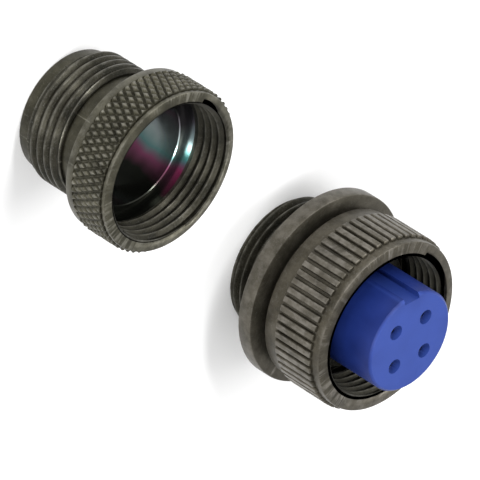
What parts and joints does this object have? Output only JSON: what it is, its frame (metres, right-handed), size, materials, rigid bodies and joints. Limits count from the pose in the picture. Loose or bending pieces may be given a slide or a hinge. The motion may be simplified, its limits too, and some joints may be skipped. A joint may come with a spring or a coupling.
{
  "type": "circular connector plug with endbell",
  "caption": "Circular electrical plug with a ribbed threaded coupling nut, a flanged shell and a keyed insert of socket contacts, with its knurled endbell standing beside it",
  "frame": {"origin": "on the plug's axis at the rear end of its shell, on the plane that the plug and the endbell stand on", "axes": "+Z is the plug's axis, pointing out of its mating face; -Y points from the plug to the endbell; +X completes the right-handed frame"},
  "size_m": [0.0285, 0.0846, 0.0255],
  "materials": {
    "shell_metal": "satin olive drab plating",
    "nut_metal": "satin olive drab plating",
    "endbell_metal": "satin olive drab plating",
    "ring_steel": "plain spring steel",
    "insert_plastic": "moulded blue",
    "contact_metal": "silver plated",
    "sleeve_steel": "plain stainless steel"
  },
  "bodies": {
    "plug": {"plug_shell": "shell_metal", "nut_snap_ring": "ring_steel", "insert_front": "insert_plastic", "insert_rear": "insert_plastic", "insert_snap_ring": "ring_steel", "socket_1": "contact_metal", "socket_2": "contact_metal", "socket_3": "contact_metal", "socket_4": "contact_metal", "sleeve_1": "sleeve_steel", "sleeve_2": "sleeve_steel", "sleeve_3": "sleeve_steel", "sleeve_4": "sleeve_steel"},
    "nut": {"coupling_nut": "nut_metal"},
    "endbell": {"endbell": "endbell_metal"}
  },
  "joints": [
    {"name": "nut_turn", "type": "hinge", "parent": "plug", "child": "nut", "pos_m": [0, 0, 0], "axis": [0, 0, 1], "continuous": true},
    {"name": "endbell_lift", "type": "slide", "parent": "plug", "child": "endbell", "axis": [0, 0, 1], "range_m": [0, 0.06]}
  ]
}
